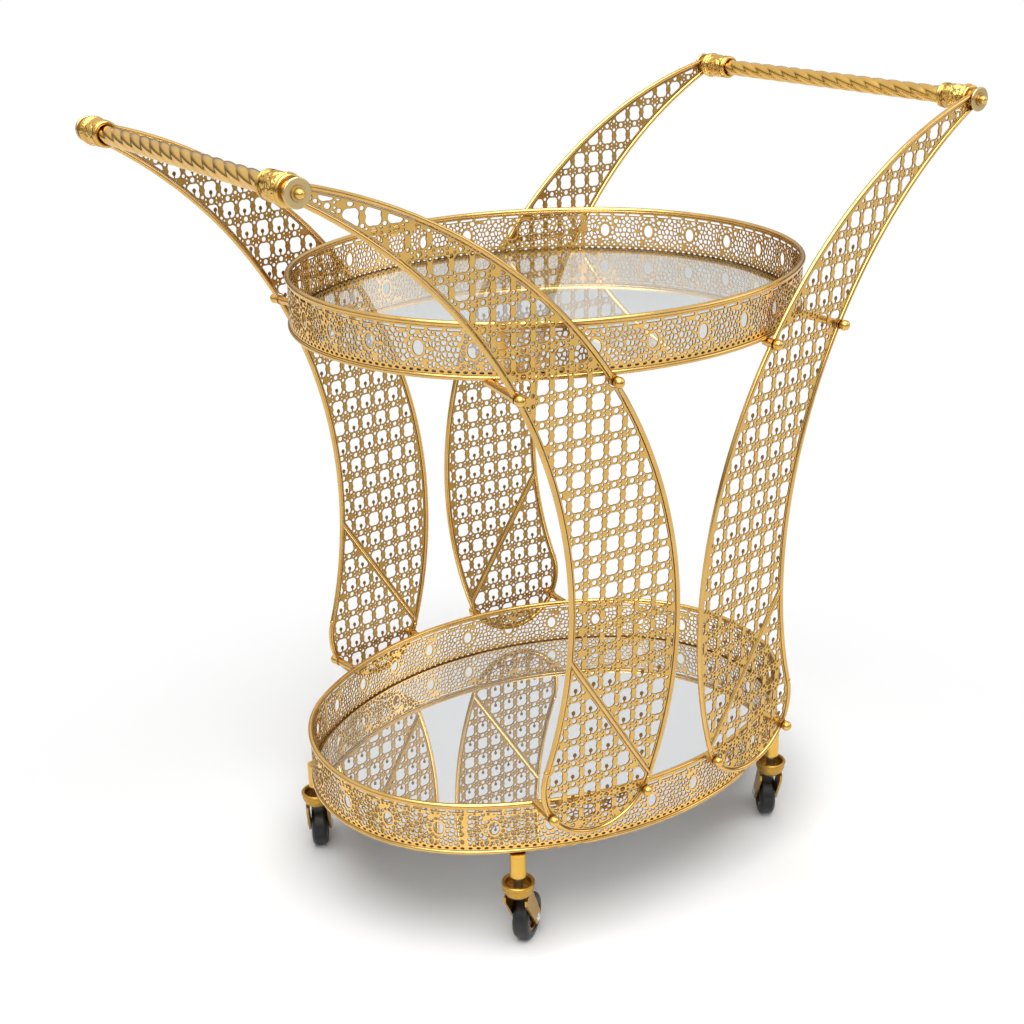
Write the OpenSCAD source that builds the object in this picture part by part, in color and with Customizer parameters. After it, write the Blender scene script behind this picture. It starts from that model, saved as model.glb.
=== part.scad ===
// Oval bar cart on four swivel casters.
// Two oval trays with pierced galleries hang between four pierced side panels.
// Each pair of panels rises to a rope-twist handle bar at one end of the cart.
// Frame: +X along the cart, +Y across it, +Z up. The origin is on the floor, under the middle.

/* [Upper tray] */
// Half length of the upper tray, out to the rim
upper_half_l = 276; // [262:1:290]
// Half depth of the upper tray, out to the rim
upper_half_w = 243; // [230:1:252]
// Height of the upper tray's rim above the floor
upper_top = 680; // [640:1:720]
// Height of the upper tray from its base to its rim
upper_h = 55; // [48:1:65]

/* [Lower tray] */
// Half length of the lower tray, out to the rim
lower_half_l = 290; // [275:1:305]
// Half depth of the lower tray, out to the rim
lower_half_w = 219; // [208:1:226]
// Height of the lower tray's rim above the floor
lower_top = 178; // [172:1:190]
// Height of the lower tray from its base to its rim
lower_h = 60; // [50:1:64]

/* [Galleries] */
// Diameter of the wire along a tray's top
rim_d = 6; // [5:0.5:8]
// Diameter of the wire along a tray's base
base_d = 5; // [4:0.5:7]
// Thickness of a gallery's pierced strip
gallery_t = 1.2; // [0.8:0.1:2]
// Length of wall that one medallion takes
medallion_pitch = 55; // [44:1:70]
// Width of the ledge that carries a pane
ledge_w = 12; // [8:1:20]
// Thickness of the ledge
ledge_t = 2; // [1.5:0.1:2.4]
// Thickness of a pane
pane_t = 4; // [3:0.5:6]
// Gap between a pane and its gallery
pane_gap = 1; // [0.5:0.1:2]

/* [Side panels] */
// Turn of a panel about the upright, so that its outer edge leans to the cart's middle line
panel_yaw = 6; // [3:0.5:8]
// Outward lean of a panel
panel_lean = 1.7; // [1:0.1:2.2]
// Gap between a panel's wire and the upper tray's rim
panel_gap = 1.5; // [1:0.1:4]
// Thickness of a panel's pierced sheet
sheet_t = 1.2; // [0.8:0.1:2]
// Diameter of the wire round a panel
wire_d = 5; // [4:0.5:6]
// Distance of a panel's inner edge from the cart's middle, at its waist
waist_in = 14; // [8:1:24]
// Height of the inner edge's waist along the panel
waist_in_v = 350; // [335:1:365]
// Distance of a panel's outer edge from the cart's middle, at its waist
waist_out = 137.5; // [128:0.5:148]
// Height of the outer edge's waist along the panel
waist_out_v = 385; // [370:1:400]
// Height of the centre of a panel's round foot along the panel
foot_v = 207; // [200:1:215]
// Height at which the brace leaves the outer edge
brace_top_v = 346; // [320:1:370]
// Height at which the brace meets the inner edge
brace_low_v = 190; // [180:1:200]
// Diameter of the brace
brace_d = 4; // [3:0.5:5]

/* [Panel lattice] */
// Width of one lattice cell
cell_w = 19.6; // [18.6:0.1:24]
// Height of one lattice cell
cell_h = 24.2; // [22:0.1:28]
// Radius of the four lobes of a large opening
lobe_r = 4.9; // [4.4:0.1:5.2]
// Radius of the small opening inside a ring
ring_hole_r = 2.7; // [1.5:0.1:3]
// Radius of the openings beside a star
star_hole_r = 1.9; // [1.2:0.1:2.4]
// Width of the plain border along the sheet's edge
border = 2; // [1:0.1:4]

/* [Handles] */
// Distance of a handle from the cart's middle
handle_x = 395; // [380:1:410]
// Height of a handle's middle above the floor
handle_z = 824; // [800:1:840]
// Diameter of the rope-twist bar
rope_d = 18; // [15:0.5:22]
// Length of bar in which one strand goes once round
rope_lead = 45; // [30:1:60]
// Largest diameter of a collar
collar_d = 27; // [24:0.5:30]
// Length of a collar
collar_l = 38; // [30:1:46]
// Depth to which the bar enters a collar
socket_l = 14; // [8:1:20]
// Diameter of the eye at a panel's tip
eye_d = 19; // [18:0.5:22]
// Thickness of the eye at a panel's tip
eye_t = 8; // [7.5:0.5:9]
// Diameter of the disc on the outside of the eye
disc_d = 25; // [20:0.5:28]
// Thickness of that disc at its edge
disc_t = 3; // [2:0.5:5]
// Diameter of the acorn screw's shank
acorn_d = 5; // [4:0.5:6]

/* [Tray bolts] */
// Diameter of a bolt's shank
bolt_d = 4; // [3:0.5:5]
// Diameter of a bolt's ball head
ball_d = 11; // [9:0.5:13]
// Diameter of the boss that takes a bolt
boss_d = 8; // [7:0.5:9]
// Diameter of the eye on a panel's wire
lug_d = 10; // [9:0.5:12]
// Depth to which a bolt enters its boss
bolt_depth = 5; // [4:0.5:5.5]

/* [Casters] */
// Where the front left caster stands: the direction in which the lower tray's wall faces out there
stand_fl = 241.5; // [238:0.5:245]
// Where the front right caster stands
stand_fr = 305; // [300:0.5:308]
// Where the back left caster stands
stand_bl = 144; // [138:0.5:148]
// Where the back right caster stands
stand_br = 61.5; // [58:0.5:65]
// Direction in which the front left caster trails, with the cart at rest
turn_fl = 35; // [30:1:60]
// Direction in which the front right caster trails
turn_fr = 55; // [30:1:60]
// Direction in which the back left caster trails
turn_bl = 60; // [30:1:60]
// Direction in which the back right caster trails
turn_br = 45; // [30:1:60]
// Diameter of the wheel over its tyre
wheel_d = 50; // [40:1:56]
// Width of the tyre
wheel_w = 18; // [14:0.5:22]
// Diameter of the hub
hub_d = 32; // [24:1:36]
// Diameter of the wheel's axle
axle_d = 6; // [5:0.5:8]
// Distance from the swivel's axis to the wheel's axle
trail = 25; // [20:1:28]
// Gap between the tyre and a fork ear
ear_gap = 1.5; // [1:0.1:3]
// Thickness of a fork ear
ear_t = 2.5; // [2:0.1:4]
// Diameter of the swivel cup
cup_d = 35; // [30:1:40]
// Depth of the swivel cup
cup_h = 17; // [14:1:20]
// Diameter of the sleeve under the tray
sleeve_d = 17; // [15:0.5:20]
// Length of the sleeve
sleeve_l = 27; // [20:1:32]
// Diameter of the stem's thread
stem_d = 10; // [8:0.5:11]
// Diameter of the kingpin that the fork turns on
kingpin_d = 8; // [6:0.5:9]
// Radial clearance of the parts that turn
run_fit = 0.05; // [0.02:0.01:0.08]

/* [Hidden] */
gold = [0.83, 0.64, 0.27];
bright_gold = [0.92, 0.74, 0.36];
glass = [0.72, 0.82, 0.86, 0.6];
mirror_grey = [0.78, 0.8, 0.82];
steel = [0.75, 0.76, 0.78];
black = [0.08, 0.08, 0.09];
$fn = 96;
eps = 0.01;
// Gap left between pieces of the frame that touch
seat_gap = 0.05;
// Gap left round a sheet, inside its wire
sheet_gap = 0.2;

// An oval of four arcs set out on a 3-4-5 triangle: the ends are struck from 3k along the
// long axis and the sides from 4k across it, so that every arc meets the next at the same angle
function oval_k(a, b) = (a - b) / 2;
function end_r(a, b) = b - oval_k(a, b);
function side_r(a, b) = b + 4 * oval_k(a, b);
split = atan2(4, 3);
// Point of the oval that faces out in the direction dir
function wall_point(a, b, dir) = abs(cos(dir)) > cos(split)
    ? [sign(cos(dir)) * 3 * oval_k(a, b), 0] + end_r(a, b) * [cos(dir), sin(dir)]
    : [0, -sign(sin(dir)) * 4 * oval_k(a, b)] + side_r(a, b) * [cos(dir), sin(dir)];
// Depth of the oval's long side at the distance x from the middle
function oval_y(a, b, x) = sqrt(pow(side_r(a, b), 2) - x * x) - 4 * oval_k(a, b);

// Middle lines of the two walls
upper_a = upper_half_l - rim_d / 2;
upper_b = upper_half_w - rim_d / 2;
lower_a = lower_half_l - rim_d / 2;
lower_b = lower_half_w - rim_d / 2;
upper_base_z = upper_top - upper_h;
lower_base_z = lower_top - lower_h;
// Flat on a wire, where the strip stands: its distance from the wire's centre
rim_flat = rim_d / 2 - 0.4;
base_flat = base_d / 2 - 0.4;
// Reach of the strip's outer face past the wall's middle line, with a gap that clears it
strip_out = gallery_t / 2 + 0.3;

// Panel plane: u runs along the cart, v up the panel, from the floor
tip_v = handle_z / cos(panel_lean);
tip_u = (handle_x - tip_v * sin(panel_lean) * sin(panel_yaw)) / cos(panel_yaw);
// Thickness of the eyes on a panel's wire, and diameter of its welds
lug_t = wire_d + 1;
weld_d = wire_d + 1;
// Distance of the wires from the tip's bolt, above and below it
tip_split = acorn_d / 2 + wire_d / 2 + 1;
// The inner edge and the outer edge are arcs that stand upright at their waists
in_du = tip_u - waist_in;
in_dv = tip_v + tip_split - waist_in_v;
in_r = (in_du * in_du + in_dv * in_dv) / (2 * in_du);
in_c = [waist_in + in_r, waist_in_v];
out_du = tip_u - waist_out;
out_dv = tip_v - tip_split - waist_out_v;
out_r = (out_du * out_du + out_dv * out_dv) / (2 * out_du);
out_c = [waist_out + out_r, waist_out_v];
// The foot's centre is as far from one edge as from the other, at the height foot_v
foot_s = in_r + out_r;
foot_d = out_c[0] - in_c[0];
foot_k = foot_s * foot_s + foot_d * foot_d + pow(foot_v - out_c[1], 2) - pow(foot_v - in_c[1], 2);
foot_qa = 1 - pow(foot_d / foot_s, 2);
foot_qb = foot_d * (foot_k / (foot_s * foot_s) - 2);
foot_qc = foot_d * foot_d + pow(foot_v - out_c[1], 2) - pow(foot_k / (2 * foot_s), 2);
foot_c = [in_c[0] + (-foot_qb - sqrt(foot_qb * foot_qb - 4 * foot_qa * foot_qc)) / (2 * foot_qa), foot_v];
foot_r = in_r - norm(foot_c - in_c);
// Directions in which the three arcs meet, and in which they reach the tip
foot_in_dir = atan2(foot_c[1] - in_c[1], foot_c[0] - in_c[0]) + 360;
foot_out_dir = atan2(foot_c[1] - out_c[1], foot_c[0] - out_c[0]) + 360;
tip_in_dir = atan2(in_dv, tip_u - in_c[0]);
tip_out_dir = atan2(out_dv, tip_u - out_c[0]);

// Distance of an edge's wire from the middle, at the height v
function edge_in(v) = v > foot_c[1] + foot_r * sin(foot_in_dir)
    ? in_c[0] - sqrt(in_r * in_r - pow(v - in_c[1], 2))
    : foot_c[0] - sqrt(foot_r * foot_r - pow(v - foot_v, 2));
function edge_out(v) = v > foot_c[1] + foot_r * sin(foot_out_dir - 180)
    ? out_c[0] - sqrt(out_r * out_r - pow(v - out_c[1], 2))
    : foot_c[0] + sqrt(foot_r * foot_r - pow(v - foot_v, 2));

// Distance of the panel's plane from the middle line, at the floor under the middle: the panel
// stands clear of both trays' rims, along its whole width at their heights
function clear_of(a, b, u, v) = oval_y(a, b, u * cos(panel_yaw)) + panel_gap + wire_d / 2
    + u * sin(panel_yaw) - v * sin(panel_lean) * cos(panel_yaw);
function clear_of_tray(a, b, v) =
    max([for (i = [0:4]) clear_of(a, b, edge_in(v) + (edge_out(v) - edge_in(v)) * i / 4, v)]);
panel_y = max(
    clear_of_tray(upper_half_l, upper_half_w, upper_base_z / cos(panel_lean)),
    clear_of_tray(lower_half_l, lower_half_w, lower_top / cos(panel_lean))
);
// Where the tip's bolt crosses the panel
tip_y = panel_y - tip_u * sin(panel_yaw) + tip_v * sin(panel_lean) * cos(panel_yaw);

// Heights of the tray bolts along the panel
upper_bolt_v = (upper_base_z - boss_d / 2 + 1) / cos(panel_lean);
lower_bolt_v = (lower_top - rim_d / 2) / cos(panel_lean);

// Heights of the casters' parts, under the lower tray's wall
sleeve_z = lower_base_z - sleeve_l;
// The cup's rim stands a little under the sleeve, with the thread in view between them
cup_top_z = sleeve_z - 7;
cup_base_z = cup_top_z - cup_h;
hub_fit = 0.05;
ear_y = wheel_w / 2 + ear_gap;

module wire(x = 0, d = 5) {
    translate([x, 0]) circle(d = d, $fn = 32);
}

// Sweeps a section round an oval, with x outward from the wall's middle line. Each quarter
// starts where its two arcs meet and runs one degree over the axes, into the next quarter
module oval_sweep(a, b) {
    for (mx = [0, 1]) for (my = [0, 1]) mirror([mx, 0, 0]) mirror([0, my, 0]) {
        translate([3 * oval_k(a, b), 0, 0]) mirror([0, 1, 0]) rotate(-split)
            rotate_extrude(angle = split + 1, $fn = 240) translate([end_r(a, b), 0]) children();
        translate([0, -4 * oval_k(a, b), 0]) rotate(split)
            rotate_extrude(angle = 91 - split, $fn = 240) translate([side_r(a, b), 0]) children();
    }
}

// Sets a child at every medallion of an oval; $unit_w is the length of wall it has
module round_oval(a, b) {
    end_len = 2 * split * PI / 180 * end_r(a, b);
    side_len = (180 - 2 * split) * PI / 180 * side_r(a, b);
    end_n = max(2, round(end_len / medallion_pitch));
    side_n = max(2, round(side_len / medallion_pitch));
    for (turn = [0, 180]) rotate(turn) {
        for (i = [0:end_n - 1]) {
            $unit_w = end_len / end_n;
            translate([3 * oval_k(a, b), 0, 0]) rotate(-split + (i + 0.5) * 2 * split / end_n)
                translate([end_r(a, b), 0, 0]) children();
        }
        for (i = [0:side_n - 1]) {
            $unit_w = side_len / side_n;
            translate([0, -4 * oval_k(a, b), 0]) rotate(split + (i + 0.5) * (180 - 2 * split) / side_n)
                translate([side_r(a, b), 0, 0]) children();
        }
    }
}

module oval_plate(a, b, t) {
    join_x = side_r(a, b) * cos(split);
    linear_extrude(t) {
        intersection() {
            translate([0, -4 * oval_k(a, b)]) circle(r = side_r(a, b), $fn = 360);
            translate([0, 4 * oval_k(a, b)]) circle(r = side_r(a, b), $fn = 360);
            square([2 * join_x, 3 * b], center = true);
        }
        for (side = [-1, 1]) intersection() {
            translate([side * 3 * oval_k(a, b), 0]) circle(r = end_r(a, b), $fn = 360);
            translate([side * (join_x + a / 2), 0]) square([a, 3 * b], center = true);
        }
    }
}

// Top wire, with a flat underneath for the strip
module rim(a, b, top) {
    translate([0, 0, top - rim_d / 2]) oval_sweep(a, b) difference() {
        wire(d = rim_d);
        translate([-rim_d, -rim_d - rim_flat]) square([2 * rim_d, rim_d]);
    }
}

// Base wire, with a flat on top for the strip and a ledge inside for the pane
module base_ring(a, b, z) {
    translate([0, 0, z + base_d / 2]) oval_sweep(a, b) {
        difference() {
            wire(d = base_d);
            translate([-base_d, base_flat]) square([2 * base_d, base_d]);
        }
        translate([-ledge_w, -base_d / 2 + 0.3]) square([ledge_w, ledge_t]);
    }
}

// Openings that belong to one medallion, drawn flat: x along the wall, y from its mid height
module medallion_openings(w, h) {
    scale([0.7, 1]) circle(r = 9, $fn = 8);
    for (x = [-1, 1]) for (y = [-1, 1]) {
        translate([x * 10.5, y * 9.5]) rotate(-35 * x * y) scale([0.6, 1]) circle(r = 6, $fn = 4);
    }
    for (y = [-6.5, 6.5]) {
        translate([w / 2, y]) scale([1, 1.1]) circle(r = 5.2, $fn = 4);
    }
    for (x = [-w / 4, w / 4]) {
        translate([x, h / 2 - 3.6]) square([w / 4, 2.4], center = true);
        translate([x, 4.2 - h / 2]) circle(r = 2, $fn = 4);
    }
}

module gallery(a, b, z, top) {
    low = z + base_d / 2 + base_flat;
    high = top - rim_d / 2 - rim_flat;
    difference() {
        oval_sweep(a, b) translate([-gallery_t / 2, low]) square([gallery_t, high - low]);
        round_oval(a, b) translate([0, 0, (low + high) / 2]) rotate([90, 0, 90])
            linear_extrude(3 * gallery_t, center = true) medallion_openings($unit_w, high - low);
    }
}

module pane(a, b, z) {
    inset = gallery_t / 2 + pane_gap + base_d / 2;
    translate([0, 0, z + 0.3 + ledge_t]) oval_plate(a - inset, b - inset, pane_t);
}

module upper_rim() {
    color(bright_gold) rim(upper_a, upper_b, upper_top);
}

module upper_gallery() {
    color(gold) gallery(upper_a, upper_b, upper_base_z, upper_top);
}

module upper_pane() {
    color(glass) pane(upper_a, upper_b, upper_base_z);
}

module lower_gallery() {
    color(gold) gallery(lower_a, lower_b, lower_base_z, lower_top);
}

module lower_base() {
    color(bright_gold) base_ring(lower_a, lower_b, lower_base_z);
}

module lower_pane() {
    color(mirror_grey) pane(lower_a, lower_b, lower_base_z);
}

// Moves a piece of the back right quarter to the quarter on the given sides
module in_quarter(sx, sy) {
    mirror([sx < 0 ? 1 : 0, 0, 0]) mirror([0, sy < 0 ? 1 : 0, 0]) children();
}

module in_all_quarters() {
    for (sx = [-1, 1]) for (sy = [-1, 1]) in_quarter(sx, sy) children();
}

// Stands a child drawn flat in u and v up in the panel's plane, with its top side inward
module in_panel() {
    translate([0, panel_y, 0]) rotate([90 - panel_lean, 0, -panel_yaw]) children();
}

// Sets a child at the two bolts of a panel at the height v
module at_bolts(v) {
    for (u = [edge_in(v), edge_out(v)]) in_panel() translate([u, v, 0]) {
        $bolt_u = u;
        children();
    }
}

// Distance from the panel's plane to a tray's wall, square to the plane
function wall_x(u, v) = u * cos(panel_yaw) + v * sin(panel_lean) * sin(panel_yaw);
function wall_dy(a, b, u, v, x) =
    panel_y - u * sin(panel_yaw) + v * sin(panel_lean) * cos(panel_yaw) - oval_y(a, b, x);
function boss_reach(a, b, u, v) =
    wall_dy(a, b, u, v, wall_x(u, v) - wall_dy(a, b, u, v, wall_x(u, v)) * sin(panel_yaw));

// Bosses that reach from a tray's wall to the eyes on the panels' wires
module bosses(a, b, v, past) {
    in_all_quarters() at_bolts(v) translate([0, 0, lug_t / 2 + seat_gap])
        cylinder(d = boss_d, h = boss_reach(a, b, $bolt_u, v) - lug_t / 2 - seat_gap + past, $fn = 48);
}

// Bores for the bolts, through the bosses and on into the wire behind them
module bolt_bores(v) {
    in_all_quarters() at_bolts(v)
        cylinder(d = bolt_d + 0.2, h = lug_t / 2 + seat_gap + bolt_depth + 0.5, $fn = 48);
}

module upper_base() {
    color(bright_gold) difference() {
        union() {
            base_ring(upper_a, upper_b, upper_base_z);
            bosses(upper_a, upper_b, upper_bolt_v, 3);
        }
        bolt_bores(upper_bolt_v);
    }
}

module lower_rim() {
    color(bright_gold) difference() {
        union() {
            rim(lower_a, lower_b, lower_top);
            // The bosses' undersides are cut back to the strip's outer face, under the wire's flat
            difference() {
                bosses(lower_a, lower_b, lower_bolt_v, 0);
                translate([0, 0, lower_top - rim_d / 2 - rim_flat - rim_d])
                    oval_plate(lower_a + strip_out, lower_b + strip_out, rim_d);
            }
        }
        bolt_bores(lower_bolt_v);
    }
}

module tray_bolts(v) {
    head_z = -lug_t / 2 - seat_gap;
    color(bright_gold) in_all_quarters() at_bolts(v) {
        difference() {
            translate([0, 0, head_z - ball_d / 2 + 1]) sphere(d = ball_d, $fn = 48);
            translate([0, 0, head_z + ball_d / 2]) cube(ball_d, center = true);
        }
        translate([0, 0, head_z - 2]) cylinder(d = bolt_d, h = lug_t + 2 * seat_gap + bolt_depth + 2, $fn = 48);
    }
}

module upper_bolts() {
    tray_bolts(upper_bolt_v);
}

module lower_bolts() {
    tray_bolts(lower_bolt_v);
}

// Wire bent to an arc, cut a hair short at both ends for the weld beads that join them
module bent_wire(c, r, from, to) {
    hair = 0.2 / r * 180 / PI;
    translate(c) rotate(from + hair)
        rotate_extrude(angle = to - from - 2 * hair, $fn = 240) wire(r, wire_d);
}

// Sets a child, drawn flat, where the three arcs of a panel's wire meet
module at_welds() {
    for (dir = [foot_in_dir, foot_out_dir + 180])
        translate(foot_c + foot_r * [cos(dir), sin(dir)]) children();
}

// Wire round a panel, welded from three arcs, with the brace, the eyes for the tray bolts
// and the eye at its tip
module frame() {
    brace_from = [edge_out(brace_top_v), brace_top_v];
    brace_to = [edge_in(brace_low_v), brace_low_v];
    brace_run = brace_to - brace_from;
    color(gold) difference() {
        union() {
            in_panel() {
                bent_wire(in_c, in_r, tip_in_dir, foot_in_dir);
                bent_wire(out_c, out_r, tip_out_dir, foot_out_dir);
                bent_wire(foot_c, foot_r, foot_in_dir, foot_out_dir + 180);
                at_welds() sphere(d = weld_d, $fn = 48);
                translate(brace_from) rotate([0, 90, atan2(brace_run[1], brace_run[0])])
                    cylinder(d = brace_d, h = norm(brace_run), $fn = 32);
            }
            for (v = [upper_bolt_v, lower_bolt_v])
                at_bolts(v) cylinder(d = lug_d, h = lug_t, center = true, $fn = 48);
            translate([handle_x, tip_y, handle_z]) rotate([90, 0, 0])
                cylinder(d = eye_d, h = eye_t, center = true);
        }
        for (v = [upper_bolt_v, lower_bolt_v])
            at_bolts(v) cylinder(d = bolt_d + 0.2, h = 2 * lug_t, center = true, $fn = 48);
        translate([handle_x, tip_y, handle_z]) rotate([90, 0, 0])
            cylinder(d = acorn_d + 0.2, h = 2 * eye_t, center = true);
    }
}

function arc_points(c, r, from, to, n) =
    [for (i = [0:n]) c + r * [cos(from + (to - from) * i / n), sin(from + (to - from) * i / n)]];

// A panel's outline, moved in from the wires' middle line by inset. The outer edge hollows
// inward, so its straight steps are set off by their own rise to stay clear of the wire
outer_steps = 40;
outer_rise = cos((foot_out_dir - tip_out_dir) / outer_steps / 2);
function panel_outline(inset) = concat(
    arc_points(in_c, in_r - inset, tip_in_dir, foot_in_dir, 40),
    arc_points(foot_c, foot_r - inset, foot_in_dir, foot_out_dir + 180, 24),
    arc_points(out_c, (out_r + inset) / outer_rise, foot_out_dir, tip_out_dir, outer_steps)
);

// How far a point lies inside the panel's long edges and its foot
function inside_by(p) = min(
    in_r - norm(p - in_c),
    norm(p - out_c) - out_r,
    p[1] > foot_v ? foot_r : foot_r - norm(p - foot_c)
);

// Openings of one cell: a large one with four lobes, the ring below it and a star beside it
module cell_openings() {
    for (x = [-1, 1]) for (y = [-1, 1]) {
        translate([x * 2.3, y * 3.3]) circle(r = lobe_r, $fn = 24);
    }
    translate([0, -cell_h / 2]) circle(r = ring_hole_r, $fn = 16);
    for (y = [-1, 1]) {
        translate([cell_w / 2, y * (cell_h / 2 - 5)]) circle(r = star_hole_r, $fn = 16);
    }
}

module lattice() {
    reach = norm([cell_w, cell_h]) / 2;
    for (i = [0:ceil(tip_u / cell_w)]) for (j = [0:ceil(tip_v / cell_h)]) {
        p = [(i + 0.75) * cell_w, j * cell_h];
        if (inside_by(p) > -reach && p[0] < tip_u) translate(p) cell_openings();
    }
}

module brace_strip(w) {
    brace_from = [edge_out(brace_top_v), brace_top_v];
    brace_to = [edge_in(brace_low_v), brace_low_v];
    brace_run = brace_to - brace_from;
    translate(brace_from) rotate(atan2(brace_run[1], brace_run[0]))
        translate([-2 * wire_d, -w / 2]) square([norm(brace_run) + 4 * wire_d, w]);
}

// Discs of the given extra width round all the eyes of a panel
module eye_discs(extra) {
    for (v = [upper_bolt_v, lower_bolt_v]) for (u = [edge_in(v), edge_out(v)])
        translate([u, v]) circle(d = lug_d + 2 * extra, $fn = 48);
    translate([tip_u, tip_v]) circle(d = eye_d + 2 * extra, $fn = 64);
}

module sheet() {
    inset = wire_d / 2 + sheet_gap;
    color(gold) in_panel() translate([0, 0, -sheet_t / 2]) linear_extrude(sheet_t) difference() {
        polygon(panel_outline(inset));
        difference() {
            intersection() {
                polygon(panel_outline(inset + border));
                lattice();
            }
            brace_strip(brace_d + 2 * sheet_gap + 2 * border);
            eye_discs(sheet_gap + border);
        }
        brace_strip(brace_d + 2 * sheet_gap);
        eye_discs(sheet_gap + 1);
        at_welds() circle(d = weld_d + 2 * sheet_gap, $fn = 32);
    }
}

module frame_fl() { in_quarter(-1, -1) frame(); }
module frame_fr() { in_quarter(1, -1) frame(); }
module frame_bl() { in_quarter(-1, 1) frame(); }
module frame_br() { in_quarter(1, 1) frame(); }
module sheet_fl() { in_quarter(-1, -1) sheet(); }
module sheet_fr() { in_quarter(1, -1) sheet(); }
module sheet_bl() { in_quarter(-1, 1) sheet(); }
module sheet_br() { in_quarter(1, 1) sheet(); }

// Distances of a collar's outer end and of a disc's inner face from the cart's middle line
collar_y = tip_y - eye_t / 2 - seat_gap;
disc_y = tip_y + eye_t / 2 + seat_gap;

// Rope-twist bar of three strands, whose ends stand in the collars
module rope(side) {
    rope_l = 2 * (collar_y - collar_l + socket_l - seat_gap);
    strand_dip = rope_d * 0.11;
    outline = [for (t = [0:30:359]) (rope_d / 2 - strand_dip * (1 - abs(cos(1.5 * t)))) * [cos(t), sin(t)]];
    color(bright_gold) translate([side * handle_x, 0, handle_z]) rotate([90, 0, 0])
        linear_extrude(rope_l, center = true, twist = 360 * rope_l / rope_lead,
            slices = round(rope_l / rope_lead * 9), segments = len(outline))
            polygon(outline);
}

module rope_left() { rope(-1); }
module rope_right() { rope(1); }

// Half section of a collar: radius across, length up from the bar's side
module collar_section() {
    core_r = collar_d * 0.4;
    difference() {
        union() {
            square([core_r, collar_l]);
            translate([core_r, 2.4]) circle(r = 2.4, $fn = 32);
            translate([core_r - 0.6, 7]) circle(r = 2, $fn = 32);
            translate([collar_d / 2 - 8, collar_l / 2 - 0.5]) circle(r = 8, $fn = 64);
            translate([core_r - 0.4, collar_l - 10.5]) circle(r = 1.8, $fn = 32);
            translate([core_r - 1, collar_l - 7]) square([collar_d / 2 - core_r + 1, 4]);
            translate([collar_d / 2 - 1, collar_l - 5]) circle(r = 2, $fn = 32);
        }
        translate([-collar_d, -1]) square([collar_d, collar_l + 2]);
        translate([-1, -1]) square([rope_d / 2 + 0.15 + 1, socket_l + 1]);
        translate([-1, collar_l - 13]) square([acorn_d / 2 + 0.1 + 1, 14]);
    }
}

module collars(side) {
    color(bright_gold) for (sy = [-1, 1]) in_quarter(side, sy)
        translate([handle_x, collar_y - collar_l, handle_z]) rotate([-90, 0, 0])
            rotate_extrude() collar_section();
}

module collars_left() { collars(-1); }
module collars_right() { collars(1); }

// Discs on the outside of the eyes, each with a rounded face
module discs() {
    color(bright_gold) in_all_quarters() translate([handle_x, disc_y, handle_z]) rotate([-90, 0, 0])
        rotate_extrude() difference() {
            union() {
                square([disc_d / 2 - 1, disc_t]);
                translate([disc_d / 2 - disc_t / 2, disc_t / 2]) circle(d = disc_t, $fn = 32);
                square([disc_d / 4, disc_t + 1.5]);
            }
            translate([-1, -1]) square([acorn_d / 2 + 0.1 + 1, disc_t + 4]);
        }
}

// Screws with acorn heads, through the discs and the eyes into the collars
module acorn_screws() {
    head_r = acorn_d * 0.85;
    color(bright_gold) in_all_quarters()
        translate([handle_x, disc_y + disc_t + 1.5 + seat_gap, handle_z]) rotate([-90, 0, 0]) {
            cylinder(r = head_r, h = 2, $fn = 48);
            translate([0, 0, 2]) intersection() {
                sphere(r = head_r, $fn = 48);
                cylinder(r = head_r, h = head_r + 1, $fn = 48);
            }
            translate([0, 0, -disc_t - 1.5 - eye_t - 11]) cylinder(d = acorn_d, h = disc_t + eye_t + 13, $fn = 48);
        }
}

// Moves a caster drawn about its swivel axis, trailing to +X, to its stand and turn
module at_caster(stand, turn) {
    translate(wall_point(lower_a, lower_b, stand)) rotate(turn) children();
}

module at_fl() { at_caster(stand_fl, turn_fl) children(); }
module at_fr() { at_caster(stand_fr, turn_fr) children(); }
module at_bl() { at_caster(stand_bl, turn_bl) children(); }
module at_br() { at_caster(stand_br, turn_br) children(); }

module sleeves() {
    color(bright_gold) for (stand = [stand_fl, stand_fr, stand_bl, stand_br]) at_caster(stand, 0)
        translate([0, 0, sleeve_z]) difference() {
            cylinder(d = sleeve_d, h = sleeve_l);
            translate([0, 0, -1]) cylinder(d = stem_d + 2 * seat_gap, h = sleeve_l - 3);
        }
}

// Stem: thread above, flange inside the cup, kingpin through the cup's floor, head below
module stem() {
    floor_t = 3;
    color(steel) {
        translate([0, 0, cup_base_z + floor_t + 0.3]) {
            cylinder(d = stem_d, h = sleeve_z + sleeve_l - 6 - cup_base_z - floor_t);
            cylinder(d = stem_d + 8, h = 2.5);
        }
        translate([0, 0, cup_base_z - 2.3]) {
            cylinder(d = kingpin_d, h = floor_t + 3);
            cylinder(d = kingpin_d + 5, h = 2);
        }
    }
}

// Half section of the swivel cup, from its floor up to its rolled rim
module cup_section() {
    cup_r = cup_d / 2;
    difference() {
        union() {
            polygon([
                [0, 0], [cup_r - 7, 0], [cup_r - 3, 4], [cup_r - 1.2, 9], [cup_r - 1.4, cup_h - 2],
                [cup_r - 3.4, cup_h - 2], [cup_r - 3.4, 9.5], [cup_r - 5.2, 5.6], [cup_r - 8, 3], [0, 3]
            ]);
            translate([cup_r - 2, cup_h - 2]) circle(r = 2, $fn = 32);
        }
        translate([-1, -1]) square([kingpin_d / 2 + run_fit + 1, 6]);
        translate([cup_r - 0.6, cup_h / 2 + 2]) circle(r = 0.9, $fn = 24);
    }
}

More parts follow.
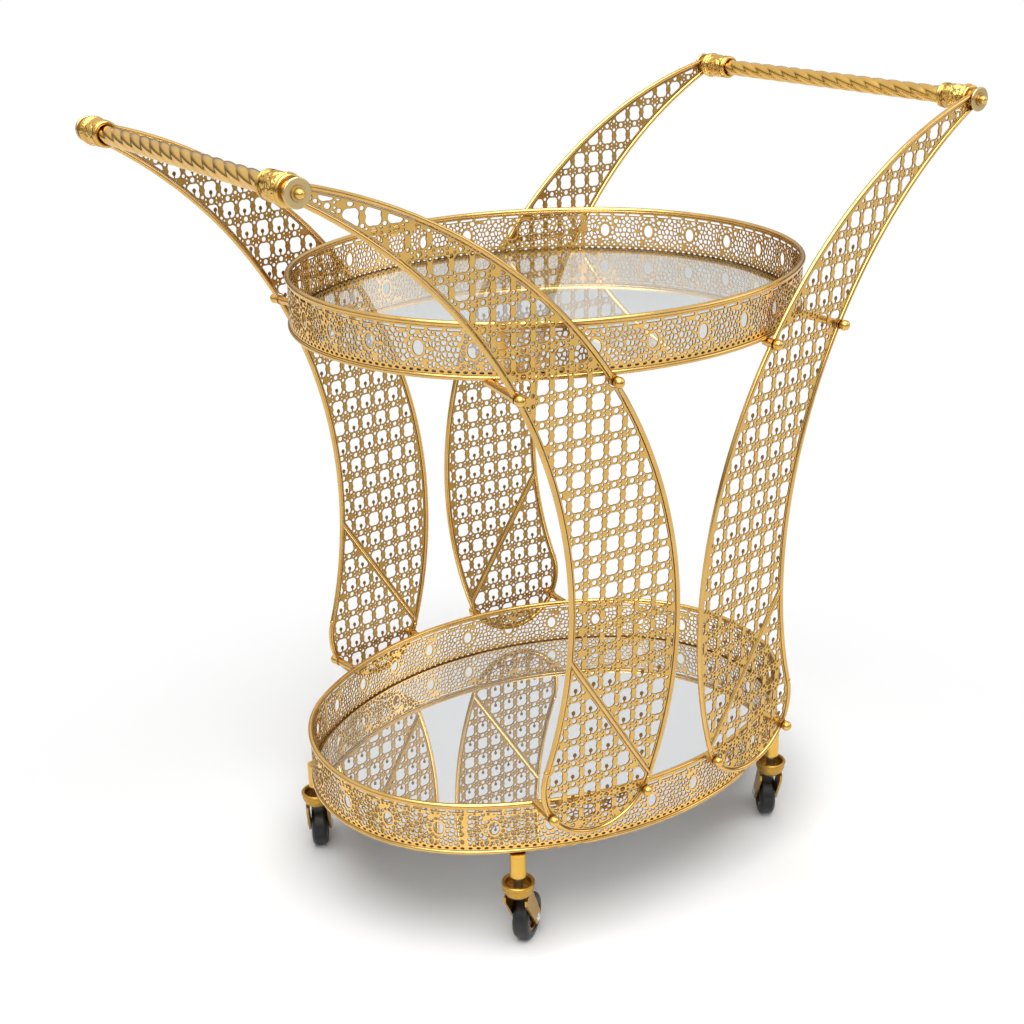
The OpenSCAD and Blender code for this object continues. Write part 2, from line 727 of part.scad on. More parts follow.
// Fork: the swivel cup with two ears that sweep back to the axle
module fork() {
    ear_w = 20;
    color(gold) difference() {
        union() {
            translate([0, 0, cup_base_z]) rotate_extrude() cup_section();
            for (side = [-1, 1]) translate([0, side * (ear_y + ear_t / 2), 0]) rotate([90, 0, 0])
                linear_extrude(ear_t, center = true) {
                    hull() {
                        translate([-ear_w / 2, cup_base_z - 6]) square([ear_w, 6]);
                        translate([trail, wheel_d / 2]) circle(r = axle_d / 2 + 4.5, $fn = 32);
                    }
                    // Tab welded into the cup's floor
                    translate([-7, cup_base_z - 3]) square([14, 5]);
                }
        }
        translate([trail, 0, wheel_d / 2]) rotate([90, 0, 0])
            cylinder(d = axle_d + 2 * seat_gap, h = 4 * wheel_w, center = true);
    }
}

module axle() {
    half_l = ear_y + ear_t + seat_gap;
    color(steel) translate([trail, 0, wheel_d / 2]) {
        rotate([90, 0, 0]) cylinder(d = axle_d, h = 2 * half_l, center = true);
        for (side = [-1, 1]) translate([0, side * half_l, 0]) rotate([-90 * side, 0, 0]) intersection() {
            translate([0, 0, -axle_d * 0.6]) sphere(d = 2 * axle_d, $fn = 64);
            cylinder(d = 3 * axle_d, h = axle_d, $fn = 48);
        }
    }
}

// Hub: a thin web between a boss on the axle and the ring that carries the tyre
module hub() {
    boss_half = ear_y - 0.3;
    color(gold) translate([trail, 0, wheel_d / 2]) rotate([90, 0, 0]) rotate_extrude() difference() {
        union() {
            translate([0, -boss_half]) square([axle_d / 2 + 3, 2 * boss_half]);
            translate([0, -wheel_w / 4]) square([hub_d / 2 - 1, wheel_w / 2]);
            translate([hub_d / 2 - 3, 1 - wheel_w / 2]) square([3, wheel_w - 2]);
        }
        translate([-1, -wheel_w]) square([axle_d / 2 + run_fit + 1, 2 * wheel_w]);
    }
}

module tyre() {
    shoulder = wheel_w * 0.28;
    bore_r = hub_d / 2 + hub_fit;
    color(black) translate([trail, 0, wheel_d / 2]) rotate([90, 0, 0]) rotate_extrude() difference() {
        union() {
            translate([0, -wheel_w / 2]) square([wheel_d / 2 - shoulder, wheel_w]);
            translate([0, shoulder - wheel_w / 2]) square([wheel_d / 2, wheel_w - 2 * shoulder]);
            for (side = [-1, 1]) translate([wheel_d / 2 - shoulder, side * (wheel_w / 2 - shoulder)])
                circle(r = shoulder, $fn = 48);
        }
        translate([-wheel_d, -wheel_w]) square([wheel_d + bore_r, 2 * wheel_w]);
    }
}

module stem_fl() { at_fl() stem(); }
module stem_fr() { at_fr() stem(); }
module stem_bl() { at_bl() stem(); }
module stem_br() { at_br() stem(); }
module fork_fl() { at_fl() fork(); }
module fork_fr() { at_fr() fork(); }
module fork_bl() { at_bl() fork(); }
module fork_br() { at_br() fork(); }
module axle_fl() { at_fl() axle(); }
module axle_fr() { at_fr() axle(); }
module axle_bl() { at_bl() axle(); }
module axle_br() { at_br() axle(); }
module hub_fl() { at_fl() hub(); }
module hub_fr() { at_fr() hub(); }
module hub_bl() { at_bl() hub(); }
module hub_br() { at_br() hub(); }
module tyre_fl() { at_fl() tyre(); }
module tyre_fr() { at_fr() tyre(); }
module tyre_bl() { at_bl() tyre(); }
module tyre_br() { at_br() tyre(); }

// Draws the chosen node, or all of them
upper_gallery();
lower_gallery();
sheet_fl();
sheet_fr();
sheet_bl();
sheet_br();
upper_base();
lower_base();
upper_rim();
lower_rim();
upper_pane();
lower_pane();
frame_fl();
frame_fr();
frame_bl();
frame_br();
rope_left();
rope_right();
collars_left();
collars_right();
discs();
acorn_screws();
upper_bolts();
lower_bolts();
sleeves();
stem_fl();
stem_fr();
stem_bl();
stem_br();
fork_fl();
fork_fr();
fork_bl();
fork_br();
axle_fl();
axle_fr();
axle_bl();
axle_br();
hub_fl();
hub_fr();
hub_bl();
hub_br();
tyre_fl();
tyre_fr();
tyre_bl();
tyre_br();
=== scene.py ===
import math
import random
from functools import lru_cache
import bmesh
import bpy
import numpy as np
from mathutils import Matrix, Vector
from mathutils.geometry import delaunay_2d_cdt


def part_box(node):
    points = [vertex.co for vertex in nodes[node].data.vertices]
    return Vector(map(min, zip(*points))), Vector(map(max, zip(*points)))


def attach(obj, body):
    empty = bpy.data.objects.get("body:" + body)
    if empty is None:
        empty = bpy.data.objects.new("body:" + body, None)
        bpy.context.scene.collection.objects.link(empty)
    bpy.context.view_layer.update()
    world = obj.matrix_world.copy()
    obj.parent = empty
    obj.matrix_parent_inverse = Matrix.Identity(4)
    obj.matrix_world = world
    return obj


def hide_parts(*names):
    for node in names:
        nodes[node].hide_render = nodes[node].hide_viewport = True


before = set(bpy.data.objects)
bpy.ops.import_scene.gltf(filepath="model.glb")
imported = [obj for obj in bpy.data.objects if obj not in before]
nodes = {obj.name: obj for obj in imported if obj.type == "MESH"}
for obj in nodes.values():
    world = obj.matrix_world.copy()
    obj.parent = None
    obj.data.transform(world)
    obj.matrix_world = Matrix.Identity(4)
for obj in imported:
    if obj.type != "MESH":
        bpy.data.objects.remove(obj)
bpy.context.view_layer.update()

# ---------------------------------------------------------------------------
# Tray wires: the top and base wires of both trays are drawn steel rod, rolled to
# an oval, welded shut, polished and plated in pale gold.
# ---------------------------------------------------------------------------


class Field:
    """A value that varies over a surface. Operators on it add Math nodes."""

    def __init__(self, finish, socket):
        self.finish = finish
        self.socket = socket

    def maths(self, operation, *operands):
        return self.finish.node("ShaderNodeMath", {"operation": operation}, *operands)

    def __add__(self, other):
        return self.maths("ADD", self, other)

    def __radd__(self, other):
        return self.maths("ADD", other, self)

    def __sub__(self, other):
        return self.maths("SUBTRACT", self, other)

    def __rsub__(self, other):
        return self.maths("SUBTRACT", other, self)

    def __mul__(self, other):
        return self.maths("MULTIPLY", self, other)

    def __rmul__(self, other):
        return self.maths("MULTIPLY", other, self)

    def ramp(self, low, high, to_low=0.0, to_high=1.0):
        """Runs smoothly from to_low at low to to_high at high, and stays level beyond them."""
        settings = {"interpolation_type": "SMOOTHSTEP"}
        return self.finish.node("ShaderNodeMapRange", settings, self, low, high, to_low, to_high)


def socket_of(sockets, name):
    """A node's socket by its name, or by its identifier where several share a name."""
    named = sockets.get(name.replace("_", " "))
    return named if named is not None else next(s for s in sockets if s.identifier == name)


class Finish:
    """A material. node() adds one node, and set() gives a value or a field to the shader."""

    def __init__(self, name, **shader):
        self.material = bpy.data.materials.new(name)
        self.material.use_nodes = True
        self.tree = self.material.node_tree
        self.shader = self.tree.nodes["Principled BSDF"]
        self.set(**shader)

    def link(self, value, socket):
        """Sets a plain value on a socket, or links a field to it."""
        if isinstance(value, Field):
            self.tree.links.new(value.socket, socket)
        else:
            socket.default_value = value

    def node(self, kind, settings, *values, out=None, **named):
        made = self.tree.nodes.new(kind)
        for key, value in settings.items():
            setattr(made, key, value)
        for socket, value in zip(made.inputs, values):
            self.link(value, socket)
        for key, value in named.items():
            self.link(value, socket_of(made.inputs, key))
        return Field(self, made.outputs[0] if out is None else socket_of(made.outputs, out))

    def set(self, **values):
        for key, value in values.items():
            self.link(value, socket_of(self.shader.inputs, key))

    def place(self):
        """Where a point lies on its own piece."""
        return self.node("ShaderNodeTexCoord", {}, out="Object")

    def noise(self, scale, detail=2.0):
        """A cloudy value round 0.5, with scale patches to the metre."""
        return self.node("ShaderNodeTexNoise", {}, Vector=self.place(), Scale=scale, Detail=detail)

    def hollows(self, distance):
        """1 in the open and towards 0 in narrow places, where shade falls; it sets where shade is painted.
        """
        return self.node("ShaderNodeAmbientOcclusion", {"samples": 8}, Distance=distance, out="AO")

    def blend(self, share, first, second):
        """The first colour where share is 0 and the second where it is 1."""
        return self.node("ShaderNodeMix", {"data_type": "RGBA"}, out="Result_Color",
                         Factor_Float=share, A_Color=first, B_Color=second)

    def bump(self, height, distance):
        """Raises the surface a little where height is high."""
        self.set(Normal=self.node("ShaderNodeBump", {}, Strength=1.0, Distance=distance, Height=height))


def gold_plate(name, bright, hollow_shade, hollow, roughness, grain):
    """Gold plate over metal: bright in the open, and darkened towards its second colour with painted shade
    in hollows and cuts as wide as hollow. Grain is the depth of its fine texture."""
    finish = Finish(name, Metallic=1.0)
    cloud = finish.noise(35.0, 3.0)
    fine = finish.noise(900.0, 2.0)
    # Painted shade: the colour darkens towards the second colour in hollows and narrow cuts, under a random
    # cloud of tone
    shade = finish.hollows(hollow).ramp(0.25, 0.95) * cloud.ramp(0.2, 0.75, 0.82, 1.0)
    finish.set(
        Base_Color=finish.blend(shade, hollow_shade, bright),
        Roughness=cloud.ramp(0.3, 0.7, roughness - 0.05, roughness + 0.07) + (1 - shade) * 0.2,
    )
    finish.bump(fine, grain)
    return finish.material


def paint(material, *names):
    """Gives a finish to solids of the cart."""
    for name in names:
        nodes[name].data.materials.clear()
        nodes[name].data.materials.append(material)


# Each gold plate's second colour is the painted shade in its hollows
wire_gold = gold_plate("plated_wire", (0.76, 0.48, 0.155, 1), (0.22, 0.10, 0.018, 1),
                       hollow=0.004, roughness=0.2, grain=0.00002)
paint(wire_gold, "upper_rim", "upper_base", "lower_rim", "lower_base")

# ---------------------------------------------------------------------------
# Galleries: strips of thin steel, pierced with medallions in a fine mesh and bent round
# the trays. Their edges are tumbled round, and the walls of the cuts are painted darker as shade.
# ---------------------------------------------------------------------------

MM = 0.001
# The strips' pattern in millimetres. Pairs are half the width and half the height of an opening or of a
# ring of them, and a mesh's pitch and stray along the strip and up it
medallion = (5.2, 7.2)
medallion_rise = 1
petal_count = 12
petal_ring = (9.1, 11.4)
petal = (1.6, 2.1)
slot_count = 3
slot_width = 2.2
slot_gap = 3.6
slot_drop = 3
slot_wall_drop = 1.6
foot_count = 7
foot_slot = (1.9, 1.1)
foot_slot_rise = 2.9
foot_slot_tilt = 0.3
foot_pearl = (1.5, 1.3)
foot_pearl_rise = 6.4
mesh_round_medallion = (11.9, 14.2)
mesh_pitch = (5.1, 4.3)
mesh_stray = (2.0, 1.5)
mesh_foot = 9.8
mesh_margins = 16.5
cell_radius = 3.4
cell_reach = 8
cell_spacing = 0.95
half_wall = 0.6
least_wall = 0.9


@lru_cache
def gallery_loops(unit, height):
    """The openings of one medallion's length of strip, from the strip's middle: the medallion and its
    petals, slots along the top, two rows along the foot and an uneven mesh between them."""
    chance = random.Random(11)
    top, foot = height / 2, -height / 2
    loops = [oval(0, medallion_rise, *medallion, 28)]
    taken = []
    for i in range(petal_count):
        turn = math.radians((i + 0.5) * 360 / petal_count)
        x, y = petal_ring[0] * math.cos(turn), petal_ring[1] * math.sin(turn)
        taken.append((x, y + medallion_rise))
        loops.append(oval(*taken[-1], *petal, 10, math.atan2(y, x)))
    for i in range(slot_count):
        middle = (i - 1) * unit / slot_count
        slot = slot_points(unit / slot_count - slot_gap, slot_width)
        loops.append([(middle + x, top - slot_drop + y) for x, y in slot])
        taken += [(middle + x, top - slot_wall_drop) for x in (-6, -2, 2, 6)]
    for i in range(foot_count):
        x = (i - 3) * unit / foot_count
        tilt = chance.uniform(-foot_slot_tilt, foot_slot_tilt)
        loops.append(oval(x, foot + foot_slot_rise, *foot_slot, 10, tilt))
        taken.append((x + unit / (2 * foot_count), foot + foot_pearl_rise))
        loops.append(oval(*taken[-1], *foot_pearl, 8))
    columns = round(unit / mesh_pitch[0])
    rows = round((height - mesh_margins) / mesh_pitch[1])
    seeds = []
    for i in range(columns):
        for j in range(rows):
            x = (i + (j % 2) / 2) * unit / columns - unit / 2 + chance.uniform(-mesh_stray[0], mesh_stray[0])
            y = foot + mesh_foot + j * (height - mesh_margins) / (rows - 1)
            y += chance.uniform(-mesh_stray[1], mesh_stray[1])
            x -= unit if x > unit / 2 else 0
            clear = math.hypot(x / mesh_round_medallion[0], (y - medallion_rise) / mesh_round_medallion[1])
            if clear > 1:
                seeds.append((x, y))
    near = [Vector((x + shift, y)) for x, y in seeds + taken for shift in (-unit, 0, unit)]
    loops += [cell(Vector(seed), near) for seed in seeds]
    return fitted(loops, unit, height)


def cell(seed, near):
    """The opening round a seed that stays half a wall clear of the lines midway to its neighbours."""
    ring = [Vector(p) for p in oval(*seed, cell_radius, cell_radius, 16)]
    for other in near:
        gap = other - seed
        if 0.01 < gap.length < cell_reach:
            limit = gap.length / 2 - half_wall
            away = gap.normalized()
            reach = [(p - seed).dot(away) - limit for p in ring]
            cut = []
            for here, there, a, b in zip(ring, ring[1:] + ring[:1], reach, reach[1:] + reach[:1]):
                if a <= 0:
                    cut.append(here)
                if (a > 0) != (b > 0):
                    cut.append(here.lerp(there, a / (a - b)))
            ring = cut
    return even_loop(np.array([tuple(p) for p in ring]), cell_spacing)


def even_loop(ring, spacing):
    """A closed loop with evenly spaced points and its corners eased."""
    ring = np.concatenate([ring, ring[:1]])
    lengths = np.linalg.norm(np.diff(ring, axis=0), axis=1)
    along = np.concatenate([[0], np.cumsum(lengths)])
    count = max(8, int(round(along[-1] / spacing)))
    at = np.arange(count) * along[-1] / count
    even = np.stack([np.interp(at, along, ring[:, i]) for i in range(2)], axis=1)
    return (np.roll(even, 1, 0) + 2 * even + np.roll(even, -1, 0)) / 4


def fitted(loops, unit, height):
    """The same openings, the later ones made smaller or left out where a wall would get too thin."""
    kept = []
    taken = np.array([(1e3, 1e3)])
    for loop in loops:
        loop = np.array(loop)
        for share in (1, 0.9, 0.8, 0.65, 0.5):
            ring = loop.mean(0) + (loop - loop.mean(0)) * share
            close = ring
            for _ in range(2):
                close = np.concatenate([close, (close + np.roll(close, -1, 0)) / 2], 1).reshape(-1, 2)
            near = np.linalg.norm(taken[:, None] - close[None], axis=2).min()
            if near > least_wall and np.abs(ring[:, 1]).max() < height / 2 - least_wall:
                kept.append(ring)
                taken = np.concatenate([taken] + [close + (shift, 0) for shift in (-unit, 0, unit)])
                break
    return kept


def oval(x, y, half_w, half_h, points, turn=0.0):
    """An oval about x and y, turned from upright."""
    c, s = math.cos(turn), math.sin(turn)
    ring = [(half_w * math.cos(a), half_h * math.sin(a)) for a in np.arange(points) * 2 * math.pi / points]
    return [(x + c * u - s * v, y + s * u + c * v) for u, v in ring]


def slot_points(length, width):
    """A slot with round ends."""
    half = (length - width) / 2
    side = [(x, width / 2) for x in np.linspace(half, -half, round(half / 0.7) + 1)[1:-1]]
    end = [(half + width / 2 * math.cos(a), width / 2 * math.sin(a)) for a in np.linspace(-1.57, 1.57, 6)]
    return end + side + [(-x, -y) for x, y in end] + [(-x, -y) for x, y in side]


def edge_rows(ring, thickness, edge, seam):
    """The six rows of places that take a loop's edge round from the outer face to the inner one, and
    their directions. The ends of a strip as long as seam stay square to it."""
    ahead = np.roll(ring, -1, 0) - ring
    ahead /= np.linalg.norm(ahead, axis=1)[:, None]
    inward = np.stack([-ahead[:, 1], ahead[:, 0]], 1)
    inward = inward + np.roll(inward, 1, 0)
    inward /= np.maximum((inward * inward).sum(1) / 2, 0.7)[:, None]
    at_end = (ring[:, 0] < edge / 9) | (ring[:, 0] > seam - edge / 9) if seam else []
    places, directions = [], []
    for side, slope in ((1, 90), (1, 45), (1, 0), (-1, 0), (-1, 45), (-1, 90)):
        c, s = math.cos(math.radians(slope)), math.sin(math.radians(slope))
        flat = ring + inward * edge * (1 - c)
        if seam:
            flat[at_end, 0] = ring[at_end, 0]
        places.append(np.column_stack([flat, np.full(len(ring), side * (thickness / 2 - edge + edge * s))]))
        directions.append(np.column_stack([-inward * c, np.full(len(ring), side * s)]))
    return np.concatenate(places), np.concatenate(directions)


def pierced(name, outlines, holes, thickness, edge, move, turn, seam=None, leaves=()):
    """A thin sheet between closed loops with its edges rounded, cut flat and then taken to its place: move
    gives the places of its points and turn their directions. Material 0 is for its outer side, 1 for its
    cuts and leaves, and 2 for its inner side. A strip as long as seam closes on itself."""
    places, directions, quads, loops = [], [], [], []
    count = 0
    for loop, whole in [(loop, True) for loop in outlines] + [(loop, False) for loop in holes]:
        ring = np.asarray(loop, float)
        after = np.roll(ring, -1, 0)
        if ((ring[:, 0] * after[:, 1] - after[:, 0] * ring[:, 1]).sum() > 0) != whole:
            ring = ring[::-1]
        rows = edge_rows(ring, thickness, edge, seam)
        places.append(rows[0])
        directions.append(rows[1])
        first = count + np.arange(len(ring))
        for step in range(1, 6):
            here, there = first + step * len(ring), first + (step - 1) * len(ring)
            quads.append(np.stack([here, np.roll(here, -1), np.roll(there, -1), there], 1))
        loops.append(first)
        count += 6 * len(ring)
    places, directions, quads = np.concatenate(places), np.concatenate(directions), np.concatenate(quads)
    above = np.concatenate(loops)
    below = np.concatenate([loop + 5 * len(loop) for loop in loops])
    edges = []
    for loop in loops:
        start, n = len(edges), len(loop)
        edges += [(start + i, start + (i + 1) % n) for i in range(n)]
    found = delaunay_2d_cdt([Vector(p[:2]) for p in places[above]], edges, [], 0, 1e-9)
    source = np.array([origin[0] if origin else -1 for origin in found[3]])
    tris = source[np.array(found[2])]
    tris = tris[(tris >= 0).all(1) & sheet_side(tris, edges)]
    if seam:
        ends = np.flatnonzero(places[:, 0] > seam - edge / 9)
        starts = np.flatnonzero(places[:, 0] < edge / 9)
        partner = np.arange(len(places))
        for i in ends:
            partner[i] = starts[np.abs(places[starts, 1:] - places[i, 1:]).sum(1).argmin()]
        closing = np.isin(quads, np.concatenate([ends, starts])).all(1)
        quads = partner[quads[~closing]]
        above, below = partner[above], partner[below]
    at_leaf = np.zeros(len(tris), bool)
    for leaf in leaves:
        at_leaf |= np.linalg.norm(places[above[tris], :2].mean(1) - leaf, axis=1) < leaf_reach
    material = np.concatenate([np.ones(len(quads), int), np.where(at_leaf, 1, 0), np.where(at_leaf, 1, 2)])
    faces = [quads, above[tris], below[tris][:, ::-1]]
    corners = np.concatenate([f.ravel() for f in faces])
    used, corners = np.unique(corners, return_inverse=True)
    sizes = np.concatenate([np.full(len(f), f.shape[1]) for f in faces])
    mesh = bpy.data.meshes.new(name)
    mesh.vertices.add(len(used))
    mesh.loops.add(len(corners))
    mesh.polygons.add(len(sizes))
    mesh.vertices.foreach_set("co", move(places[used]).ravel())
    mesh.loops.foreach_set("vertex_index", corners)
    mesh.polygons.foreach_set("loop_start", np.concatenate([[0], np.cumsum(sizes)[:-1]]))
    mesh.polygons.foreach_set("material_index", material)
    mesh.polygons.foreach_set("use_smooth", np.ones(len(sizes), bool))
    mesh.update(calc_edges=True)
    mesh.normals_split_custom_set_from_vertices(turn(places[used], directions[used]))
    return mesh


def sheet_side(tris, edges):
    """Which triangles lie inside: from outside the hull inwards, each edge of a loop changes side."""
    size = tris.max() + 1
    loop_edges = [min(a, b) * size + max(a, b) for a, b in edges]
    after = np.roll(tris, -1, 1)
    keys = (np.minimum(tris, after) * size + np.maximum(tris, after)).ravel()
    order = np.argsort(keys, kind="stable")
    twin = np.full(len(keys), -1)
    same = keys[order][1:] == keys[order][:-1]
    twin[order[1:][same]], twin[order[:-1][same]] = order[:-1][same], order[1:][same]
    crossing = np.isin(keys, loop_edges).tolist()
    twin = twin.tolist()
    state = [None] * len(tris)
    waiting = []
    for side, other in enumerate(twin):
        if other < 0 and state[side // 3] is None:
            state[side // 3] = crossing[side]
            waiting.append(side // 3)
    while waiting:
        here = waiting.pop()
        for side in range(3 * here, 3 * here + 3):
            other = twin[side] // 3
            if twin[side] >= 0 and state[other] is None:
                state[other] = state[here] ^ crossing[side]
                waiting.append(other)
    return np.array(state, bool)


def holds(loop, point):
    """Whether a point lies inside a loop."""
    (x, y), (u, v) = np.transpose(loop), np.roll(loop, -1, 0).T
    crossed = (point[1] > y) != (point[1] > v)
    return (point[0] < ((u - x) * (point[1] - y))[crossed] / (v - y)[crossed] + x[crossed]).sum() % 2 == 1


class Wall:
    """An oval wall of four arcs, set out on a 3-4-5 triangle and measured along from the back right."""

    def __init__(self, node, thickness):
        low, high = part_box(node)
        a, b = high.x - thickness / 2, high.y - thickness / 2
        k = (a - b) / 2
        split = math.atan2(4, 3)
        side = (b + 4 * k, math.pi - 2 * split)
        end = (b - k, 2 * split)
        self.mid, self.height = (low.z + high.z) / 2, high.z - low.z
        self.arcs = []
        self.length = 0.0
        for x, y, (radius, sweep), turn in ((0, -4, side, split), (-3, 0, end, math.pi - split),
                                            (0, 4, side, math.pi + split), (3, 0, end, -split)):
            start, self.length = self.length, self.length + radius * sweep
            self.arcs.append((start, self.length, x * k, y * k, radius, turn))

    def arc_at(self, along):
        """Centre x and y, radius and direction of the arc at each place along the wall."""
        found = np.searchsorted([arc[1] for arc in self.arcs], along, side="left").clip(0, 3)
        start, _, x, y, radius, turn = np.array(self.arcs)[found].T
        return x, y, radius, turn + (along - start) / radius

    def move(self, flat):
        """Places on the wall for places on the flat strip."""
        x, y, radius, turn = self.arc_at(flat[:, 0])
        reach = radius + flat[:, 2]
        return np.stack([x + reach * np.cos(turn), y + reach * np.sin(turn), self.mid + flat[:, 1]], 1)

    def turn(self, flat, way):
        """Directions on the wall for directions on the flat strip."""
        turn = self.arc_at(flat[:, 0])[3]
        c, s = np.cos(turn), np.sin(turn)
        return np.stack([way[:, 2] * c - way[:, 0] * s, way[:, 2] * s + way[:, 0] * c, way[:, 1]], 1)


def added(name, mesh, body, slot, *materials):
    """A piece of the given mesh that rides on a body of the cart."""
    for material in materials:
        mesh.materials.append(material)
    piece = bpy.data.objects.new(name, mesh)
    bpy.context.scene.collection.objects.link(piece)
    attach(piece, body)
    return piece


# The sheet this near a leaf's middle, the leaf itself, takes the cuts' painted shade too
leaf_reach = 2.6 * MM
strip_thickness = 1.2 * MM
strip_edge = 0.38 * MM
medallion_pitch = 55 * MM
arc_margin = 0.5 * MM
filigree_gold = gold_plate("filigree_gold", (0.93, 0.58, 0.175, 1), (0.20, 0.09, 0.015, 1),
                           hollow=0.004, roughness=0.27, grain=0.00005)
# Painted shade: the walls of the cuts, and the leaves, are painted much darker than the faces round them
cut_shade_gold = gold_plate("cut_shade_gold", (0.25, 0.13, 0.03, 1), (0.09, 0.04, 0.008, 1),
                      hollow=0.004, roughness=0.4, grain=0.00005)
for tray in ("upper", "lower"):
    strip = tray + "_gallery"
    wall = Wall(strip, strip_thickness)
    half = wall.height / 2
    length = wall.length
    steps = int(length / (3 * MM))
    along = [length * i / steps for i in range(steps + 1)]
    outline = [(s, -half) for s in along] + [(s, half) for s in reversed(along)]
    openings = []
    for start, stop, *_ in wall.arcs:
        count = max(2, round((stop - start) / medallion_pitch))
        unit = (stop - start) / count
        pattern = gallery_loops(round(unit / MM, 4), round(wall.height / MM, 4))
        for i in range(count):
            for loop in pattern:
                ring = loop * MM + (start + (i + 0.5) * unit, 0)
                if ring[:, 0].min() > start + arc_margin and ring[:, 0].max() < stop - arc_margin:
                    openings.append(ring)
    mesh = pierced(strip + "_lace", [outline], openings, strip_thickness, strip_edge,
                   wall.move, wall.turn, length)
    lace = added(strip + "_lace", mesh, "frame", "gold_filigree", filigree_gold, cut_shade_gold, filigree_gold)
    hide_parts(strip)

# ---------------------------------------------------------------------------
# Panes: a clear float-glass pane in the upper tray and a silvered one in the lower
# tray, both with ground edges, laid loose on their ledges.
# ---------------------------------------------------------------------------

clear_glass = Finish("clear_pane", Base_Color=(0.93, 0.97, 0.96, 1), IOR=1.6)
clear_glass.set(Transmission_Weight=1.0, Coat_Weight=1.0, Coat_IOR=1.6)
smear = clear_glass.noise(14.0, 4.0)
clear_glass.set(Roughness=smear.ramp(0.4, 0.8, 0.0, 0.03))
through = clear_glass.node("ShaderNodeBsdfTransparent", {}, (0.94, 0.97, 0.96, 1))
to_lamp = clear_glass.node("ShaderNodeLightPath", {}, out="Is Shadow Ray")
solid = Field(clear_glass, clear_glass.shader.outputs["BSDF"])
clear_glass.link(clear_glass.node("ShaderNodeMixShader", {}, to_lamp, solid, through),
                 clear_glass.tree.nodes["Material Output"].inputs["Surface"])
paint(clear_glass.material, "upper_pane")
mirror = Finish("silvered_pane", Base_Color=(0.75, 0.76, 0.77, 1), Metallic=0.88)
mirror.set(Roughness=mirror.noise(14.0, 4.0).ramp(0.4, 0.8, 0.01, 0.04))
paint(mirror.material, "lower_pane")

# ---------------------------------------------------------------------------
# Side panels: leaf-shaped sheets pierced with rows of four-lobed openings, each in a
# bent and welded wire, with a straight brace brazed across the lower part.
# ---------------------------------------------------------------------------

CORNERS = ("fl", "fr", "bl", "br")
# Loops longer than this are a sheet's own edges
longest_opening = 75 * MM


def sheet_loops(node, outward):
    """The edges of a flat sheet and of its openings, on its outer face, as closed lists of places."""
    work = bmesh.new()
    work.from_mesh(nodes[node].data)
    bmesh.ops.remove_doubles(work, verts=work.verts, dist=0.002 * MM)
    outer = {f for f in work.faces if f.normal.dot(outward) > 0.7}
    steps = {}
    for edge in work.edges:
        sides = [f in outer for f in edge.link_faces]
        if len(sides) == 2 and sides[0] != sides[1]:
            for here, there in (edge.verts, reversed(edge.verts)):
                steps.setdefault(here.index, []).append(there.index)
    work.verts.ensure_lookup_table()
    places = {i: work.verts[i].co.copy() for i in steps}
    work.free()
    loops = []
    while steps:
        start = min(steps)
        loop = [start]
        here = start
        while steps.get(here):
            there = steps[here].pop()
            if here in steps.get(there, []):
                steps[there].remove(here)
            loop.append(there)
            here = there
        for i in set(loop):
            if not steps.get(i):
                steps.pop(i, None)
        if len(loop) > 4 and loop[-1] == start:
            loops.append([places[i] for i in loop[:-1]])
    return loops


def with_leaf(ring, foot):
    """An opening with a small leaf left standing on its lower edge, and the leaf's middle."""
    middle = ring.mean(0)
    base = np.argmin(np.abs(ring[:, 0] - middle[0] - foot) + (ring[:, 1] > middle[1]))
    shape = np.array([(-x, y) for x, y in leaf_half] + [(x, y) for x, y in leaf_half[-2::-1]]) * MM
    ahead = ring[(base + 1) % len(ring)] - ring[base - 1]
    if ahead[0] < 0:
        shape = shape[::-1]
    leaf = ring[base] + shape
    ring = np.concatenate([ring[:base], leaf, ring[base + 1:]])
    return ring, leaf[len(leaf) // 2] - (0, leaf_tip * MM)


# Half of a leaf's outline from its stalk to its tip, and its middle's distance from the tip, in millimetres
leaf_half = [(0.7, 0.6), (0.7, 2.2), (1.8, 3.4), (2.1, 5.0), (1.3, 6.6), (0, 7.2)]
leaf_tip = 2.4
sheet_thickness = 1.2 * MM
sheet_edge = 0.42 * MM
panel_gold = gold_plate("panel_gold", (0.75, 0.475, 0.14, 1), (0.22, 0.10, 0.02, 1),
                        hollow=0.004, roughness=0.3, grain=0.00005)
# Painted shade: the panels' inner sides are painted darker than their outer sides, as shade falls inside the
# cart
inner_shade_gold = gold_plate("inner_shade_gold", (0.53, 0.32, 0.085, 1), (0.14, 0.065, 0.015, 1),
                        hollow=0.004, roughness=0.36, grain=0.00005)
ring_hole = 2.7 * MM
# Pin holes between the rings and the stars, from each ring's middle
pin_hole = 1.05 * MM
pin_wall = 0.95 * MM
pin_places = [(x * MM, y * MM) for x in (-6.3, 6.3) for y in (-2.1, 2.1)]
